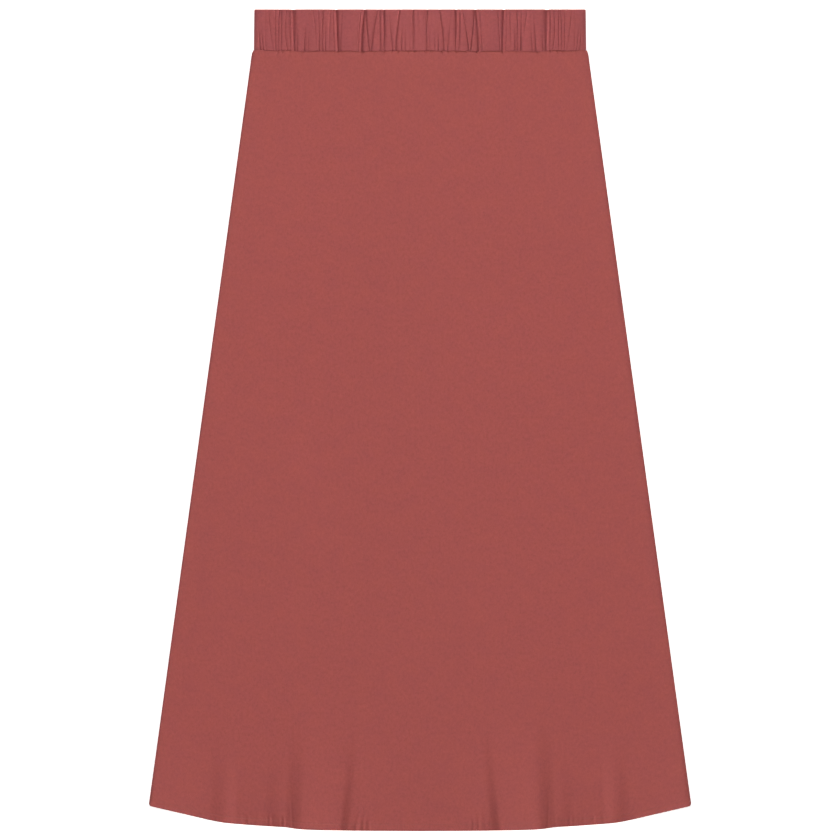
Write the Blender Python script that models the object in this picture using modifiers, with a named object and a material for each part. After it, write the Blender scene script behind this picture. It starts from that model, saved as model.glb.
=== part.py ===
"""A flared midi skirt with a gathered, elasticated waistband, laid flat on its back panel.

Sizes are in metres and +Z is up. The skirt lies on the plane Z = 0, with its waist towards +Y and its hem
towards -Y. X = 0 is its middle line, and Y = 0 is halfway between the waist's fold and the hem's lowest point.
Every piece is a closed solid, lofted through its sections from the middle to one side and then mirrored.
"""

import math
from collections import namedtuple

import bmesh
import bpy

# The skirt as it lies
LENGTH = 0.8211  # fold of the waistband to the hem, down the middle
BAND_HEIGHT = 0.0412
BAND_TOP_WIDTH = 0.3310
BAND_FOOT_WIDTH = 0.3324
PANEL_TOP_WIDTH = 0.3353  # the straight sides carried up to the waistband
PANEL_FOOT_WIDTH = 0.5418  # hem corner to hem corner
SIDE_DROP = 0.7535  # waistband to a hem corner, measured along Y
PINCH = 0.0012  # how far the elastic draws each side in at the waistband
PINCH_DROP = 0.0055  # how far down that is seen
CORNER_RADIUS = 0.0025  # the hem's corners

# Cloth, and how its layers are stacked
CLOTH = 0.0012
HEM_WALL = 0.0018  # the turned hem, thicker than the single cloth
HEM_DEPTH = 0.0080
HEM_STEP = 0.0010  # the turned edge runs out over this much
BAND_WALL = 0.0034  # two layers of cloth with the elastic between them
BAND_FOLD = 0.0016  # the rounding of the waistband's fold, measured down from it
LAYER_GAP = 0.0004  # between the front and the back where they lie on each other
SEAM_GAP = 0.0003
SIDE_ROLL = 0.0034  # the last stretch across, where the front turns down to meet the back

# Where the front leaves the back panel
BAND_RAMP = 0.0300  # the front comes down from the waistband over this much
HEM_RAMP = 0.0400  # and is on its way up to the hem from here

SEAM_Y = LENGTH / 2 - BAND_HEIGHT
PANEL_TOP_Y = SEAM_Y - SEAM_GAP / 2
PANEL_DROP = PANEL_TOP_Y + LENGTH / 2
PANEL_FLAT = PANEL_FOOT_WIDTH / 2 - SIDE_ROLL  # half the hem's width, short of the side's roll
FLARE = (PANEL_FOOT_WIDTH - PANEL_TOP_WIDTH) / 2 / SIDE_DROP

FRONT_AT_REST = 2 * CLOTH + LAYER_GAP  # height of the front's face where it lies on the back
FRONT_ON_HEM = 2 * HEM_WALL + LAYER_GAP
BAND_FACE = 2 * BAND_WALL + LAYER_GAP
FRONT_AT_BAND = BAND_FACE - CLOTH  # the waistband stands proud of the panel by one cloth

# The hem's line, from the middle to a side: how far across, and its rise above the lowest point
HemPoint = namedtuple("HemPoint", "across rise")
HEM_LINE = [
    HemPoint(0.0000, 0.0000),
    HemPoint(0.0300, 0.0001),
    HemPoint(0.0640, 0.0003),
    HemPoint(0.1000, 0.0009),
    HemPoint(0.1160, 0.0013),
    HemPoint(0.1215, 0.0017),
    HemPoint(0.1275, 0.0028),
    HemPoint(0.1335, 0.0039),
    HemPoint(0.1500, 0.0047),
    HemPoint(0.1750, 0.0065),
    HemPoint(0.1900, 0.0077),
    HemPoint(0.1970, 0.0085),
    HemPoint(0.2100, 0.0110),
    HemPoint(0.2350, 0.0169),
    HemPoint(0.2709, 0.0252),
]

# The flutes of the front's hem, from the side to the middle. Each rises from its outer foot to its crest and
# falls to its inner foot, measured across from the middle. It has its height at the hem, is gone at its reach
# above it, and has moved across by its drift there.
Flute = namedtuple("Flute", "outer crest inner height reach drift")
FLUTES = [
    Flute(0.2055, 0.1940, 0.1720, 0.0040, 0.085, -0.004),
    Flute(0.1530, 0.1405, 0.1310, 0.0030, 0.055, 0.000),
    Flute(0.1350, 0.1215, 0.0810, 0.0050, 0.130, -0.004),
    Flute(0.0810, 0.0690, 0.0420, 0.0045, 0.100, -0.012),
    Flute(0.0420, 0.0200, 0.0000, 0.0018, 0.060, 0.000),
]

# The creases of the gathered front waistband, from the middle to a side. Each has its place across at the
# fold, halfway and at the seam, its depth at the fold and at the seam, and its half width.
Crease = namedtuple("Crease", "fold halfway seam fold_depth seam_depth spread")
CREASES = [
    Crease(0.0067, 0.0062, 0.0062, 0.0009, 0.0010, 0.0007),
    Crease(0.0115, 0.0120, 0.0152, 0.0000, 0.0005, 0.0007),
    Crease(0.0150, 0.0160, 0.0177, 0.0000, 0.0005, 0.0007),
    Crease(0.0190, 0.0220, 0.0235, 0.0009, 0.0011, 0.0008),
    Crease(0.0315, 0.0285, 0.0275, 0.0004, 0.0005, 0.0011),
    Crease(0.0355, 0.0353, 0.0350, 0.0012, 0.0009, 0.0008),
    Crease(0.0392, 0.0392, 0.0370, 0.0005, 0.0007, 0.0007),
    Crease(0.0415, 0.0457, 0.0482, 0.0006, 0.0006, 0.0010),
    Crease(0.0530, 0.0519, 0.0498, 0.0006, 0.0008, 0.0008),
    Crease(0.0549, 0.0565, 0.0575, 0.0013, 0.0013, 0.0010),
    Crease(0.0605, 0.0605, 0.0605, 0.0004, 0.0005, 0.0008),
    Crease(0.0832, 0.0822, 0.0810, 0.0014, 0.0013, 0.0010),
    Crease(0.0850, 0.0870, 0.0910, 0.0003, 0.0004, 0.0011),
    Crease(0.0938, 0.0940, 0.0940, 0.0006, 0.0007, 0.0006),
    Crease(0.0958, 0.0970, 0.0970, 0.0008, 0.0007, 0.0006),
    Crease(0.1020, 0.1005, 0.1000, 0.0007, 0.0008, 0.0007),
    Crease(0.1100, 0.1112, 0.1115, 0.0000, 0.0005, 0.0008),
    Crease(0.1125, 0.1137, 0.1153, 0.0000, 0.0006, 0.0008),
    Crease(0.1265, 0.1260, 0.1250, 0.0014, 0.0013, 0.0010),
    Crease(0.1295, 0.1290, 0.1315, 0.0005, 0.0005, 0.0008),
    Crease(0.1380, 0.1380, 0.1380, 0.0006, 0.0006, 0.0006),
    Crease(0.1395, 0.1410, 0.1410, 0.0008, 0.0007, 0.0007),
    Crease(0.1450, 0.1440, 0.1440, 0.0006, 0.0007, 0.0007),
    Crease(0.1550, 0.1553, 0.1565, 0.0002, 0.0003, 0.0009),
    Crease(0.1590, 0.1580, 0.1590, 0.0000, 0.0005, 0.0008),
    Crease(0.1612, 0.1608, 0.1615, 0.0000, 0.0006, 0.0007),
]
PUFF = 0.0010  # the most that the cloth stands up between two creases
PUFF_SPAN = 0.0120  # creases this far apart let it stand up that far
CREASE_LIP = 1.4  # a crease's lips are this many half widths from its floor

# The section of half the waistband, up its outer face, over the fold and down its inner face: the height above
# the seam, the share of the wall's thickness that is reached, and the share of the gathers' relief
BandPoint = namedtuple("BandPoint", "up out relief")
BAND_SECTION = [
    BandPoint(SEAM_GAP / 2, 0.62, 0.0),
    BandPoint(0.0006, 0.88, 0.6),
    BandPoint(0.0024, 1.00, 1.0),
    BandPoint(0.0110, 1.00, 1.0),
    BandPoint(0.0206, 1.00, 1.0),
    BandPoint(0.0302, 1.00, 1.0),
    BandPoint(BAND_HEIGHT - BAND_FOLD, 1.00, 0.9),
    BandPoint(BAND_HEIGHT - 0.3 * BAND_FOLD, 0.80, 0.5),
    BandPoint(BAND_HEIGHT, 0.45, 0.0),
    BandPoint(BAND_HEIGHT - 0.5 * BAND_FOLD, 0.05, 0.0),
    BandPoint(BAND_HEIGHT - 1.2 * BAND_FOLD, 0.00, 0.0),
    BandPoint(SEAM_GAP / 2, 0.00, 0.0),
]

# How closely the sections are spaced
FRONT_SPACING = 0.0070
BACK_SPACING = 0.0400
BACK_BAND_COLUMNS = 10
BELOW_BAND = [0.0000, 0.0015, 0.0035, 0.0060, 0.0160, BAND_RAMP]
ABOVE_HEM = [0.130, 0.105, 0.084, 0.066, 0.052, HEM_RAMP, 0.028, 0.018]
ON_HEM = [HEM_DEPTH + HEM_STEP, HEM_DEPTH, 0.0035, 0.0000]
MIDDLE_ROWS = 3
ROLL_ANGLES = [math.radians(angle) for angle in (0, 30, 52, 72, 90)]


def mix(low, high, share):
    return low + (high - low) * share


def smooth(share):
    """Eases from 0 to 1 as share does."""
    share = min(1.0, max(0.0, share))
    return share * share * (3 - 2 * share)


def divide(spots, spacing):
    """The spots, and even steps between them that are no longer than spacing."""
    steps = [spots[0]]
    for near, far in zip(spots, spots[1:]):
        count = math.ceil((far - near) / spacing)
        steps += [mix(near, far, (k + 1) / count) for k in range(count)]
    return steps


def panel_half_width(drop):
    """Half the flat width of the skirt at a distance below the waistband."""
    pinch = PINCH * max(0.0, 1 - drop / PINCH_DROP) ** 2
    return PANEL_TOP_WIDTH / 2 + FLARE * min(drop, SIDE_DROP) - pinch


def hem_rise(across):
    """How far the hem lies above its lowest point, with its corner rounded."""
    before, after = next(
        pair for pair in zip(HEM_LINE, HEM_LINE[1:]) if across <= pair[1].across or pair[1] is HEM_LINE[-1]
    )
    rise = mix(before.rise, after.rise, (across - before.across) / (after.across - before.across))
    past = max(0.0, across - (PANEL_FOOT_WIDTH / 2 - CORNER_RADIUS))
    return rise + CORNER_RADIUS - math.sqrt(max(0.0, CORNER_RADIUS**2 - past**2))


def flute_height(across, above_hem):
    """How far the flutes lift the front off the back."""
    height = 0.0
    for flute in FLUTES:
        along = above_hem / flute.reach
        place = across - flute.drift * along
        if along < 1 and flute.inner < place < flute.outer:
            foot = flute.outer if place > flute.crest else flute.inner
            height += flute.height * (1 - smooth(along)) * smooth((place - foot) / (flute.crest - foot))
    return height


def front_face(across, drop, above_hem):
    """Height of the front panel's face."""
    to_band = (FRONT_AT_BAND - FRONT_AT_REST) * smooth(1 - drop / BAND_RAMP)
    to_hem = (FRONT_ON_HEM - FRONT_AT_REST) * smooth((HEM_RAMP - above_hem) / (HEM_RAMP - HEM_DEPTH))
    return FRONT_AT_REST + to_band + to_hem + flute_height(across, above_hem)


def panel_wall(above_hem):
    return mix(CLOTH, HEM_WALL, smooth((HEM_DEPTH + HEM_STEP - above_hem) / HEM_STEP))


def panel_section(share, angle, is_front):
    """A panel's section from the waistband to the hem, down its outer side and back up its inner side.

    share is how far across the flat part it runs, and angle how far round the roll at the side.
    """
    length = PANEL_DROP - hem_rise(share * PANEL_FLAT + SIDE_ROLL * math.sin(angle))
    plain = divide([BELOW_BAND[-1], length - ABOVE_HEM[0]], (length - ABOVE_HEM[0]) / MIDDLE_ROWS)
    drops = BELOW_BAND[:-1] + plain + [length - above for above in ABOVE_HEM[1:] + ON_HEM]
    outer, inner = [], []
    for drop in drops:
        above_hem = length - drop
        edge = panel_half_width(drop) - SIDE_ROLL
        face = front_face(share * edge, drop, above_hem)
        seam = front_face(edge, drop, above_hem) / 2 + (SEAM_GAP if is_front else -SEAM_GAP) / 2
        wall = panel_wall(above_hem)
        outer_height, inner_height = (face, face - wall) if is_front else (0.0, wall)
        for points, height, roll in ((outer, outer_height, SIDE_ROLL), (inner, inner_height, SIDE_ROLL - CLOTH)):
            x = share * edge + roll * math.sin(angle)
            points.append((x, PANEL_TOP_Y - drop, mix(seam, height, math.cos(angle))))
    return outer + inner[::-1]


def band_half_width(up):
    return mix(BAND_FOOT_WIDTH, BAND_TOP_WIDTH, up / BAND_HEIGHT) / 2


def crease_place(crease, up):
    """How far from the middle a crease runs, on a parabola through its three places."""
    u = up / BAND_HEIGHT
    return crease.seam * (1 - u) * (1 - 2 * u) + crease.halfway * 4 * u * (1 - u) + crease.fold * u * (2 * u - 1)


def gather_height(across, up):
    """Relief of the gathered cloth, which puffs up between creases and dips into each of them."""
    floors = [crease_place(crease, up) for crease in CREASES]
    places = [-floors[0]] + floors + [BAND_FOOT_WIDTH / 2]
    before, after = next(pair for pair in zip(places, places[1:]) if across <= pair[1])
    between = (across - before) / (after - before)
    height = PUFF * min(1.0, (after - before) / PUFF_SPAN) * math.sqrt(max(0.0, 4 * between * (1 - between)))
    for crease, floor in zip(CREASES, floors):
        depth = mix(crease.seam_depth, crease.fold_depth, up / BAND_HEIGHT)
        height -= depth * math.exp(-(((across - floor) / crease.spread) ** 2))
    return height


def gathered_columns(up):
    """Places across the gathered band: each crease's floor and two lips, and halfway to the next crease."""
    side = band_half_width(up) - SIDE_ROLL
    floors = [crease_place(crease, up) for crease in CREASES]
    columns = [0.0, floors[0] / 2]
    for crease, before, floor, after in zip(CREASES, [0.0] + floors, floors, floors[1:] + [side]):
        lip = CREASE_LIP * crease.spread
        columns += [floor - min(lip, (floor - before) / 3), floor, floor + min(lip, (after - floor) / 3)]
        columns.append((floor + after) / 2)
    return columns + [side]


def plain_columns(up):
    side = band_half_width(up) - SIDE_ROLL
    return divide([0.0, side], side / BACK_BAND_COLUMNS)


def band_section(column, angle, is_front):
    """A section of half the waistband at a column, or at an angle round the roll at its side."""
    points = []
    for spot in BAND_SECTION:
        across = (gathered_columns if is_front else plain_columns)(spot.up)[column]
        roll = mix(SIDE_ROLL - CLOTH, SIDE_ROLL, spot.out)
        if is_front:
            height = BAND_FACE - BAND_WALL * (1 - spot.out) + spot.relief * gather_height(across, spot.up)
            seam = (BAND_FACE + SEAM_GAP) / 2
        else:
            height = BAND_WALL * (1 - spot.out)
            seam = (BAND_FACE - SEAM_GAP) / 2
        points.append((across + roll * math.sin(angle), SEAM_Y + spot.up, mix(seam, height, math.cos(angle))))
    return points


def cloth_material(name, colour, roughness):
    material = bpy.data.materials.new(name)
    material.use_nodes = True
    shader = material.node_tree.nodes["Principled BSDF"]
    shader.inputs["Base Color"].default_value = (*colour, 1.0)
    shader.inputs["Roughness"].default_value = roughness
    shader.inputs["Metallic"].default_value = 0.0
    return material


def loft_and_mirror(name, sections, material, collection):
    """A solid through closed sections, from the middle to the right side, with a Mirror for the left."""
    shape = bmesh.new()
    loops = [[shape.verts.new(point) for point in section] for section in sections]
    for near, far in zip(loops, loops[1:]):
        for i in range(len(near)):
            shape.faces.new((near[i - 1], near[i], far[i], far[i - 1]))
    side = loops[-1]
    for i in range(len(side) // 2 - 1):
        shape.faces.new((side[i], side[i + 1], side[-i - 2], side[-i - 1]))
    bmesh.ops.recalc_face_normals(shape, faces=shape.faces)
    mesh = bpy.data.meshes.new(name)
    shape.to_mesh(mesh)
    shape.free()
    mesh.materials.append(material)
    mesh.shade_smooth()
    mesh.set_sharp_from_angle(angle=math.radians(50))
    piece = bpy.data.objects.new(name, mesh)
    collection.objects.link(piece)
    mirror = piece.modifiers.new("Left half", "MIRROR")
    mirror.use_axis = (True, False, False)
    mirror.merge_threshold = 0.00001


def make_panel(name, columns, is_front, material, collection):
    sections = [panel_section(across / PANEL_FLAT, 0.0, is_front) for across in columns]
    sections += [panel_section(1.0, angle, is_front) for angle in ROLL_ANGLES[1:]]
    loft_and_mirror(name, sections, material, collection)


def make_waistband(name, is_front, material, collection):
    count = len(gathered_columns(0.0)) if is_front else BACK_BAND_COLUMNS + 1
    sections = [band_section(column, 0.0, is_front) for column in range(count)]
    sections += [band_section(-1, angle, is_front) for angle in ROLL_ANGLES[1:]]
    loft_and_mirror(name, sections, material, collection)


def main():
    for old in list(bpy.data.objects):
        bpy.data.objects.remove(old)
    skirt = bpy.data.collections.new("flared_midi_skirt")
    bpy.context.scene.collection.children.link(skirt)
    panel_cloth = cloth_material("skirt_cloth", (0.36, 0.090, 0.081), 0.80)
    band_cloth = cloth_material("waistband_cloth", (0.33, 0.082, 0.080), 0.72)

    flute_spots = {spot for flute in FLUTES for spot in (flute.outer, flute.crest, flute.inner)}
    front_columns = divide(sorted(flute_spots | {PANEL_FLAT}), FRONT_SPACING)
    back_columns = divide([0.0, HEM_LINE[4].across, HEM_LINE[7].across, PANEL_FLAT], BACK_SPACING)
    make_panel("front_panel", front_columns, True, panel_cloth, skirt)
    make_panel("back_panel", back_columns, False, panel_cloth, skirt)
    make_waistband("front_waistband", True, band_cloth, skirt)
    make_waistband("back_waistband", False, band_cloth, skirt)


main()
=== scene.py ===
"""Dresses the solids of a flared midi skirt, laid flat, with gathered, fluted, hemmed and stitched cloth.

Sizes are in metres. The waist is towards +Y and the hem towards -Y, and the skirt lies on the plane Z = 0.
"""

import math
from collections import namedtuple

import bpy
import numpy as np
from bpy.props import FloatProperty, FloatVectorProperty, PointerProperty
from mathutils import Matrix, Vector


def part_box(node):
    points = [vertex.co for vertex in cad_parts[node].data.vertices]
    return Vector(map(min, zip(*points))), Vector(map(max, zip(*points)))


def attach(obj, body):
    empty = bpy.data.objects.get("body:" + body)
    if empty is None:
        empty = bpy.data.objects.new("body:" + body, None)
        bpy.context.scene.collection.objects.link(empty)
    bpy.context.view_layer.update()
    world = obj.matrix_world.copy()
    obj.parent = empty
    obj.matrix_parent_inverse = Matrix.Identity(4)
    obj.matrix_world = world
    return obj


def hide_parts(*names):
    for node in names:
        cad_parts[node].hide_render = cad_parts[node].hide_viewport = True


bl_info = {
    "name": "Flared midi skirt",
    "version": (1, 0, 0),
    "blender": (4, 5, 0),
    "location": "3D View > Sidebar > Skirt",
    "description": "Dresses the solids of a flared midi skirt with gathered, hemmed and stitched cloth",
    "category": "Add Mesh",
}

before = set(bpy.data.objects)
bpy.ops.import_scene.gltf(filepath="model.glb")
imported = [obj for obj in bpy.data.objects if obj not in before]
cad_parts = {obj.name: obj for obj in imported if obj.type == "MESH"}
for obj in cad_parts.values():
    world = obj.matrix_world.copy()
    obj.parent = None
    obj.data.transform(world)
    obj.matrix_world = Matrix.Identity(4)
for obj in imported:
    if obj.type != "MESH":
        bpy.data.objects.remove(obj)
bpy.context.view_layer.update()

# How far the cloth's places are past the solids'
CORNER_PAST = 0.0005  # from the panel's widest to where its side and hem would meet, but for the rounded corner
FOLD_LIFT = 0.0003

# Places that the frame gives
PANEL_LOW, PANEL_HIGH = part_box("front_panel")
BAND_LOW, BAND_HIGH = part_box("front_waistband")
HEM_Y = PANEL_LOW.y
SEAM_Y = (PANEL_HIGH.y + BAND_LOW.y) / 2
FOLD_Y = BAND_HIGH.y
HEM_HALF = PANEL_HIGH.x + CORNER_PAST
BAND_FOOT_HALF = BAND_HIGH.x
PANEL_DROP = SEAM_Y - HEM_Y
BAND_HEIGHT = FOLD_Y + FOLD_LIFT - SEAM_Y
SEAM_GAP = BAND_LOW.y - PANEL_HIGH.y

# The skirt's outline
BAND_TOP_HALF = 0.1657
PANEL_TOP_HALF = 0.16785  # the straight sides carried up to the waistband
SIDE_DROP = 0.7535  # waistband to a hem corner
PINCH = 0.0014  # how far the waistband draws the panels in
PINCH_DROP = 0.0055
CORNER_RADIUS = 0.0025
FLARE = (HEM_HALF - PANEL_TOP_HALF) / SIDE_DROP

# Cloth layers, with the air in them, as the solids have them
CLOTH = 0.0006  # one layer, without the air
LAYER = 0.0012
HEM_LAYERS = 0.0018
BAND_LAYERS = 0.0034
LAYER_GAP = 0.0004
FRONT_AT_REST = 2 * LAYER + LAYER_GAP
FRONT_ON_HEM = 2 * HEM_LAYERS + LAYER_GAP
BAND_FACE = 2 * BAND_LAYERS + LAYER_GAP
FRONT_AT_BAND = BAND_FACE - LAYER
BAND_RAMP = 0.0300
HEM_RAMP = 0.0400

# Rolled and turned edges
SIDE_ROLL = 0.0034
SIDE_TUCKS = (0.0005, 0.0011)  # how far the side seam's edges turn in
SEAM_TUCK = 0.0011
SEAM_ROLL = 0.0009
SEAM_ALLOWANCE = (0.0018, 0.0009)  # the panel's edge, turned up under the waistband's foot
HEM_ALLOWANCE = 0.0080
STITCH_LINE = 0.0068  # the hem's stitching, above its edge
PANEL_FLAT = HEM_HALF - SIDE_ROLL
HEM_LIFT = -0.00010  # the cloth's edge above the solid's
HEM_DRAW = 0.07  # how far the hem draws back for each unit that a flute lifts it

# The hem's line: how far across, and its rise above its lowest point
HemPoint = namedtuple("HemPoint", "across rise")
HEM_LINE = [
    HemPoint(0.0000, 0.0000),
    HemPoint(0.0300, 0.0001),
    HemPoint(0.0640, 0.0003),
    HemPoint(0.1000, 0.0009),
    HemPoint(0.1160, 0.0015),
    HemPoint(0.1215, 0.0020),
    HemPoint(0.1275, 0.0028),
    HemPoint(0.1335, 0.0039),
    HemPoint(0.1500, 0.0047),
    HemPoint(0.1750, 0.0065),
    HemPoint(0.1900, 0.0077),
    HemPoint(0.1970, 0.0085),
    HemPoint(0.2100, 0.0110),
    HemPoint(0.2350, 0.0169),
    HemPoint(0.2709, 0.0252),
]

# The front hem's flutes, from the side to the middle: their feet and crest, their height at the hem, how far
# they reach above it, and how far they have moved across there
Flute = namedtuple("Flute", "outer crest inner height reach drift")
FLUTES = [
    Flute(0.2840, 0.2680, 0.2140, 0.0060, 0.085, -0.011),
    Flute(0.2110, 0.1960, 0.1830, 0.0034, 0.100, -0.004),
    Flute(0.1550, 0.1400, 0.1000, 0.0034, 0.085, 0.000),
    Flute(0.1362, 0.1180, 0.0770, 0.0069, 0.150, -0.006),
    Flute(0.1288, 0.1273, 0.1258, -0.0009, 0.055, 0.003),
    Flute(0.0812, 0.0706, 0.0250, 0.0041, 0.130, -0.014),
    Flute(0.0668, 0.0645, 0.0612, 0.0016, 0.034, -0.006),
    Flute(0.0595, 0.0575, 0.0548, 0.0014, 0.026, -0.003),
    Flute(0.0537, 0.0515, 0.0490, 0.0009, 0.022, -0.002),
    Flute(0.0480, 0.0340, 0.0130, 0.0012, 0.060, 0.000),
    Flute(0.0110, 0.0000, -0.0110, 0.0020, 0.080, 0.000),
]
FLUTE_FADE = 2.1  # how fast a flute dies away above the hem

# Where the hem's stitching gathers the cloth into fine ticks
Gather = namedtuple("Gather", "start end height")
HEM_GATHERS = [
    Gather(0.0000, 0.0500, 0.00012),
    Gather(0.0500, 0.0720, 0.00100),
    Gather(0.0960, 0.1180, 0.00045),
    Gather(0.1320, 0.1560, 0.00080),
    Gather(0.1560, 0.1930, 0.00045),
    Gather(0.1950, 0.2600, 0.00008),
]
TICK_SPACING = 0.0024
TICK_EASE = 0.004  # how far each stretch of ticks takes to come and go
TICK_REACH = 0.006  # how far above the stitching the ticks fade out
TICK_TAIL = 0.012
TICK_START = -0.001  # how far above the hem's edge the ticks start, and how far on they are full
TICK_RISE = 0.003
GROOVE_DEPTH = 0.00028  # how far the stitching draws the cloth in
GROOVE_HALF = 0.0006
STEP_HEIGHT = 0.00016  # how far the turned layer lifts the cloth over it
STEP_HALF = 0.0006

# The front waistband's creases, from the middle to the side: their places at the fold, halfway and at the
# seam, their depths at the fold and the seam, and the half widths of their walls towards the side and towards
# the middle
Crease = namedtuple("Crease", "fold halfway seam fold_depth seam_depth outward inward")
CREASES = [
    Crease(0.0026, 0.0026, 0.0030, 0.0004, 0.0001, 0.0005, 0.0006),
    Crease(0.0073, 0.0068, 0.0068, 0.0020, 0.0011, 0.0004, 0.0006),
    Crease(0.0111, 0.0100, 0.0097, 0.0003, 0.0005, 0.0005, 0.0006),
    Crease(0.0150, 0.0152, 0.0153, 0.0000, 0.0007, 0.0005, 0.0006),
    Crease(0.0176, 0.0184, 0.0189, 0.0000, 0.0012, 0.0004, 0.0006),
    Crease(0.0196, 0.0228, 0.0246, 0.0013, 0.0015, 0.0004, 0.0006),
    Crease(0.0320, 0.0298, 0.0280, 0.0003, 0.0010, 0.0006, 0.0007),
    Crease(0.0364, 0.0362, 0.0358, 0.0040, 0.0003, 0.0005, 0.0008),
    Crease(0.0402, 0.0402, 0.0391, 0.0011, 0.0007, 0.0004, 0.0005),
    Crease(0.0426, 0.0463, 0.0494, 0.0008, 0.0009, 0.0004, 0.0005),
    Crease(0.0550, 0.0532, 0.0508, 0.0010, 0.0013, 0.0004, 0.0005),
    Crease(0.0556, 0.0579, 0.0587, 0.0050, 0.0020, 0.0006, 0.0008),
    Crease(0.0591, 0.0611, 0.0621, 0.0006, 0.0008, 0.0005, 0.0005),
    Crease(0.0778, 0.0792, 0.0803, 0.0005, 0.0005, 0.0005, 0.0006),
    Crease(0.0839, 0.0832, 0.0822, 0.0050, 0.0024, 0.0006, 0.0009),
    Crease(0.0871, 0.0869, 0.0857, 0.0006, 0.0005, 0.0005, 0.0005),
    Crease(0.0896, 0.0908, 0.0912, 0.0006, 0.0001, 0.0005, 0.0006),
    Crease(0.0948, 0.0951, 0.0950, 0.0001, 0.0007, 0.0004, 0.0005),
    Crease(0.0966, 0.0981, 0.0980, 0.0012, 0.0008, 0.0004, 0.0005),
    Crease(0.1022, 0.1014, 0.1012, 0.0004, 0.0016, 0.0004, 0.0006),
    Crease(0.1077, 0.1050, 0.1043, 0.0005, 0.0001, 0.0006, 0.0007),
    Crease(0.1105, 0.1114, 0.1127, 0.0000, 0.0005, 0.0006, 0.0006),
    Crease(0.1135, 0.1150, 0.1161, 0.0001, 0.0016, 0.0005, 0.0006),
    Crease(0.1222, 0.1227, 0.1231, 0.0000, 0.0006, 0.0005, 0.0006),
    Crease(0.1274, 0.1269, 0.1258, 0.0064, 0.0010, 0.0006, 0.0011),
    Crease(0.1303, 0.1304, 0.1300, 0.0013, 0.0003, 0.0004, 0.0006),
    Crease(0.1335, 0.1349, 0.1328, 0.0006, 0.0004, 0.0004, 0.0005),
    Crease(0.1392, 0.1389, 0.1390, 0.0007, 0.0006, 0.0004, 0.0005),
    Crease(0.1407, 0.1418, 0.1418, 0.0011, 0.0003, 0.0004, 0.0005),
    Crease(0.1450, 0.1450, 0.1446, 0.0007, 0.0006, 0.0004, 0.0006),
    Crease(0.1518, 0.1500, 0.1470, 0.0005, 0.0001, 0.0005, 0.0006),
    Crease(0.1550, 0.1553, 0.1542, 0.0002, 0.0006, 0.0005, 0.0007),
    Crease(0.1588, 0.1588, 0.1568, 0.0000, 0.0009, 0.0005, 0.0006),
    Crease(0.1612, 0.1614, 0.1598, 0.0000, 0.0012, 0.0005, 0.0007),
]
PUFF = 0.0010  # how far the cloth puffs up between two creases that are PUFF_SPAN apart
PUFF_SPAN = 0.0120
PUFF_GROWTH = 1.6
PUFF_DOME = 0.62
CREASE_CUSP = 0.95  # below 1, a crease's walls steepen towards its floor
CREASE_LIMIT = 0.0029  # the elastic inside lets no crease go deeper
ELASTIC_BULGE = 0.4  # how much less it lets them go halfway up
HELD_DEPTH = 0.0013  # a crease this deep holds the cloth down, and a shallower one lets it rise
FOOT_PINCH = 0.9  # how much deeper a crease is where the seam's thread holds it
FOOT_REACH = 0.0012
NOTCH_SHARE = 0.34  # how much of a crease's depth shows along the fold
DEPTH_RAMP = 1.4  # above 1, a crease has its depth at the fold before it gets there
DEPTH_VARIATION = 0.3
DEPTH_VARIATION_SPACING = 0.011

# Fine gathers up the waistband: their height, and their spacing at the seam and at the fold
FineGathers = namedtuple("FineGathers", "height at_seam at_fold")
STREAKS = FineGathers(0.00007, 0.0016, 0.0019)
RIPPLES = FineGathers(0.00016, 0.0048, 0.0056)

# How the back waistband's creases differ from the front's
BACK_DEPTH_SEED = 7
BACK_DEPTHS = (0.4, 1.2)  # the least and the most, as shares of the front's
BACK_SHIFT = 0.0035
BACK_SHIFT_TURN = 70  # how fast the shift changes across the waistband
BACK_SHIFT_START = 0.8

# The waist seam's wavy line: how far across, and its lift above the straight seam
SeamPoint = namedtuple("SeamPoint", "across lift")
SEAM_LINE = [
    SeamPoint(0.0000, -0.0002),
    SeamPoint(0.0420, -0.0004),
    SeamPoint(0.0495, -0.0004),
    SeamPoint(0.0575, -0.0010),
    SeamPoint(0.0650, -0.0005),
    SeamPoint(0.0850, -0.0006),
    SeamPoint(0.0950, -0.0005),
    SeamPoint(0.1160, -0.0010),
    SeamPoint(0.1240, -0.0009),
    SeamPoint(0.1340, 0.0009),
    SeamPoint(0.1400, -0.0001),
    SeamPoint(0.1560, -0.0002),
    SeamPoint(0.1610, 0.0007),
    SeamPoint(0.1670, 0.0009),
]
SEAM_WAVE_REACH = 0.012
TABLE_EASE = 0.0024  # how far each way the corners of the seam's and the hem's lines are eased

# Where the seam's thread draws the panel in: how far across, and how deep
Dimple = namedtuple("Dimple", "across depth")
DIMPLES = [
    Dimple(0.0055, 0.0012),
    Dimple(0.0115, 0.0009),
    Dimple(0.0225, 0.0012),
    Dimple(0.0285, 0.0009),
    Dimple(0.0365, 0.0011),
    Dimple(0.0465, 0.0008),
    Dimple(0.0575, 0.0018),
    Dimple(0.0825, 0.0017),
    Dimple(0.0965, 0.0006),
    Dimple(0.1175, 0.0010),
    Dimple(0.1305, 0.0017),
    Dimple(0.1375, 0.0014),
    Dimple(0.1425, 0.0014),
    Dimple(0.1560, 0.0006),
]
DIMPLE_ACROSS = 0.0009
DIMPLE_DOWN = 0.0018

# How deep the waist seam lies, as shares of its deepest
SEAM_REST = 0.45
SEAM_VARIATION = 0.30
SEAM_VARIATION_SPACING = 0.0056
SEAM_DRAWN = 0.7  # how much deeper it lies where a dimple as deep as SEAM_TUCK draws it in

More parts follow.
